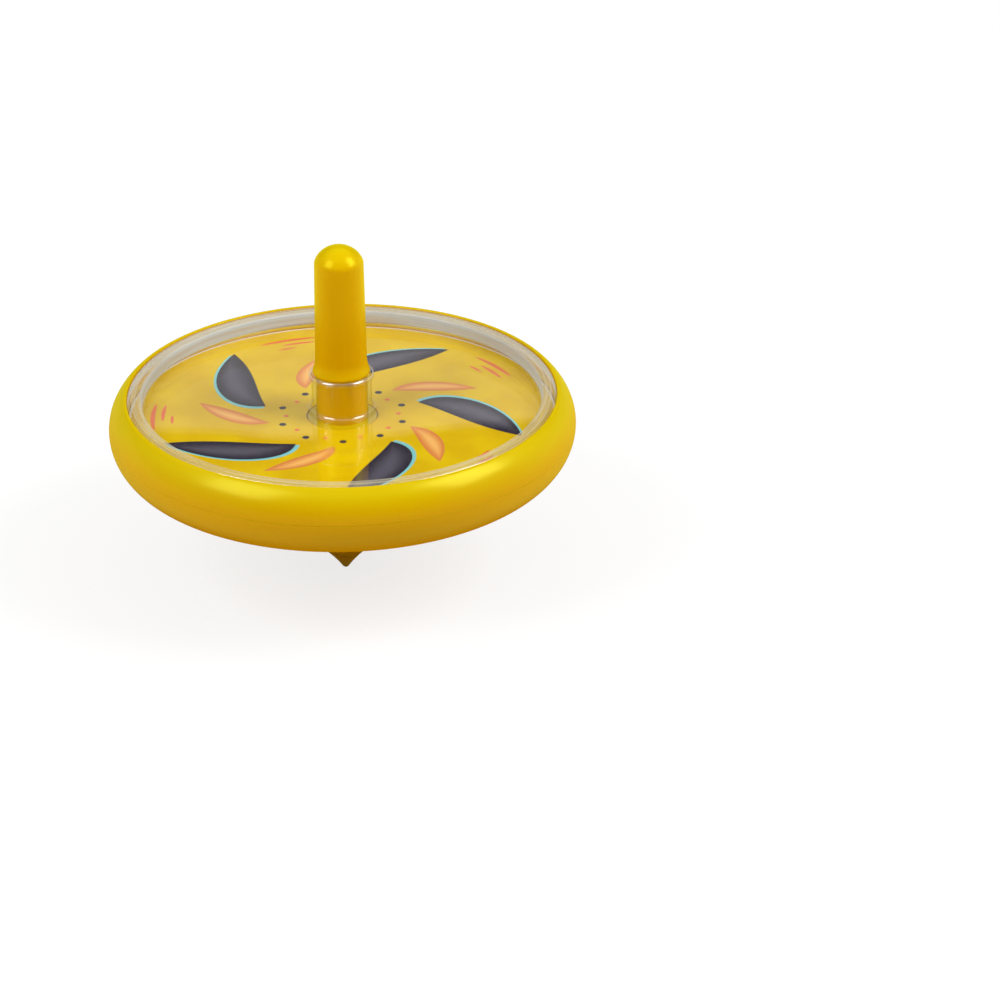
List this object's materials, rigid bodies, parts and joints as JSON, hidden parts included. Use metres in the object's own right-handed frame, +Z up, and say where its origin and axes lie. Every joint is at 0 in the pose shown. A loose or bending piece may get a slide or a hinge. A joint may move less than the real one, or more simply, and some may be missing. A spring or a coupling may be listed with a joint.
{
  "type": "spinning top",
  "caption": "Finger-twist spinning top: hollow round body with a fat rounded rim, printed card under a clear dished cover, domed stem and pointed foot.",
  "frame": {"origin": "lowest point of the pointed foot, where the top touches the table", "axes": "+Z up along the spin axis, from the foot to the domed end of the stem; X and Y level, with no fixed front"},
  "size_m": [0.07, 0.07, 0.053],
  "materials": {
    "yellow_plastic": "smooth moulded gloss",
    "printed_card": "printed coated card",
    "clear_plastic": "clear polished moulding"
  },
  "bodies": {
    "tip": {"tip": "yellow_plastic"},
    "top": {"bowl": "yellow_plastic", "rim_ring": "yellow_plastic", "print_card": "printed_card", "clear_cover": "clear_plastic", "stem": "yellow_plastic"}
  },
  "joints": [
    {"name": "spin", "type": "hinge", "parent": "tip", "child": "top", "pos_m": [0, 0, 0], "axis": [0, 0, 1], "continuous": true}
  ]
}
